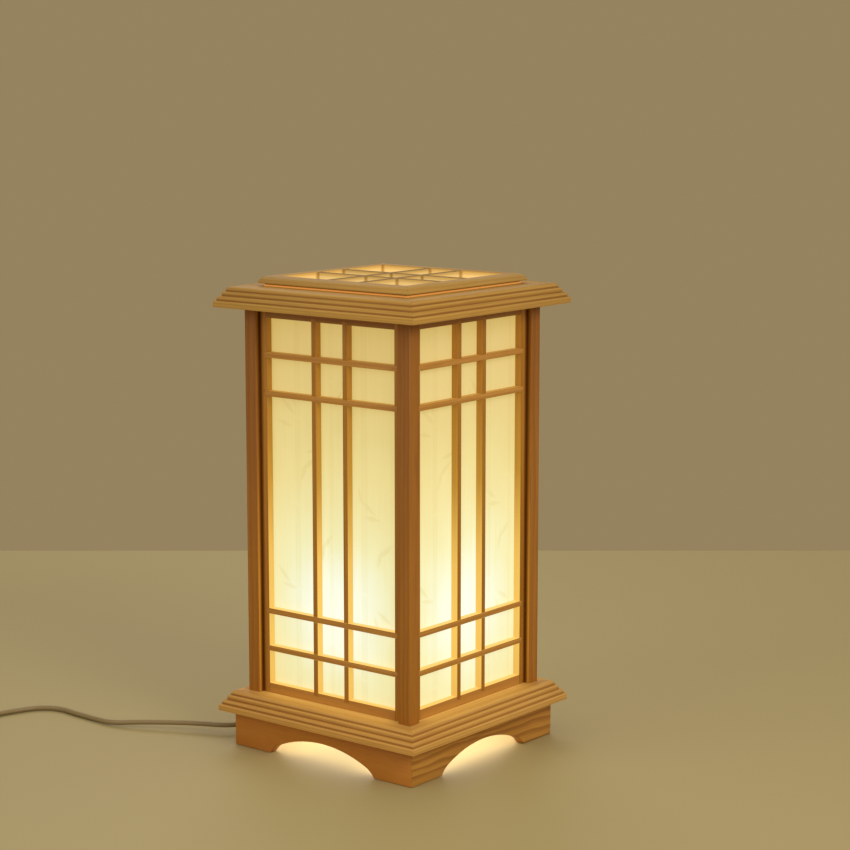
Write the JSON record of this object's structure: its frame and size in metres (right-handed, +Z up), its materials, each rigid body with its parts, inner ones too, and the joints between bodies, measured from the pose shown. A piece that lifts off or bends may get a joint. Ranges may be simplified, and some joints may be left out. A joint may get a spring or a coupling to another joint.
{
  "type": "floor lamp",
  "caption": "Square wooden lantern lamp with stepped mouldings, latticed paper windows, a lift-off grille lid, an arched plinth and a mains lead with an in-line switch.",
  "frame": {"origin": "centre of the lantern's square footprint, on the floor", "axes": "+Z up; -Y is the front, which shows on the picture's left; +X is the side that shows on its right; the lead leaves through the arch at -X"},
  "size_m": [0.4625, 0.4783, 0.4238],
  "materials": {
    "plinth_wood": "satin oiled pine, warm brown",
    "moulding_wood": "satin honey pine with straight grain",
    "post_wood": "satin honey pine",
    "lattice_wood": "satin honey pine, its sides lit by the shade",
    "lid_wood": "satin honey pine",
    "plain_wood": "bare pine",
    "paper": "milky laminated paper, lit from behind",
    "diffuser": "milky sheet, lit from behind",
    "holder_plastic": "white moulded thermoset",
    "contact_brass": "bright brass",
    "screw_steel": "zinc plated",
    "cap_metal": "pressed aluminium",
    "bulb_glass": "frosted glass",
    "lead_plastic": "pale soft plastic",
    "switch_plastic": "pale moulded plastic",
    "tie_plastic": "black soft band",
    "plug_plastic": "pale moulded plastic",
    "pin_brass": "plated brass"
  },
  "bodies": {
    "lantern": {"plinth_front": "plinth_wood", "plinth_right": "plinth_wood", "plinth_back": "plinth_wood", "plinth_left": "plinth_wood", "base_ring_front": "moulding_wood", "base_ring_right": "moulding_wood", "base_ring_back": "moulding_wood", "base_ring_left": "moulding_wood", "cap_ring_front": "moulding_wood", "cap_ring_right": "moulding_wood", "cap_ring_back": "moulding_wood", "cap_ring_left": "moulding_wood", "post_front_right": "post_wood", "post_back_right": "post_wood", "post_back_left": "post_wood", "post_front_left": "post_wood", "window_frame_front": "lattice_wood", "window_frame_right": "lattice_wood", "window_frame_back": "lattice_wood", "window_frame_left": "lattice_wood", "uprights_front": "lattice_wood", "uprights_right": "lattice_wood", "uprights_back": "lattice_wood", "uprights_left": "lattice_wood", "crossbars_front": "lattice_wood", "crossbars_right": "lattice_wood", "crossbars_back": "lattice_wood", "crossbars_left": "lattice_wood", "lamp_strip": "plain_wood", "paper_front": "paper", "paper_right": "paper", "paper_back": "paper", "paper_left": "paper", "holder_base": "holder_plastic", "holder_shell": "holder_plastic", "holder_contacts": "contact_brass", "strip_screws": "screw_steel", "holder_screws": "screw_steel", "cord_grip": "lead_plastic", "cord_to_switch": "lead_plastic", "cord_to_coil": "lead_plastic", "cord_coil": "lead_plastic", "cord_to_plug": "lead_plastic", "switch_base": "switch_plastic", "switch_cover": "switch_plastic", "coil_tie": "tie_plastic", "plug_body": "plug_plastic", "plug_pins": "pin_brass"},
    "lid": {"lid_front": "lid_wood", "lid_right": "lid_wood", "lid_back": "lid_wood", "lid_left": "lid_wood", "grille_bars_x": "lid_wood", "grille_bars_y": "lid_wood", "lid_diffuser": "diffuser", "lid_lip": "lid_wood"},
    "bulb": {"bulb_cap": "cap_metal", "bulb_glass": "bulb_glass"},
    "rocker": {"switch_rocker": "switch_plastic"}
  },
  "joints": [
    {"name": "lid_lift", "type": "slide", "parent": "lantern", "child": "lid", "axis": [0, 0, 1], "range_m": [0, 0.06]},
    {"name": "bulb_turn", "type": "hinge", "parent": "lantern", "child": "bulb", "pos_m": [0, 0, 0.0551], "axis": [0, 0, 1], "range_deg": [0, 900]},
    {"name": "switch_rocker_tilt", "type": "hinge", "parent": "lantern", "child": "rocker", "pos_m": [-0.339, -0.243, 0.0122], "axis": [1, 0, 0], "range_deg": [0, 16]}
  ]
}
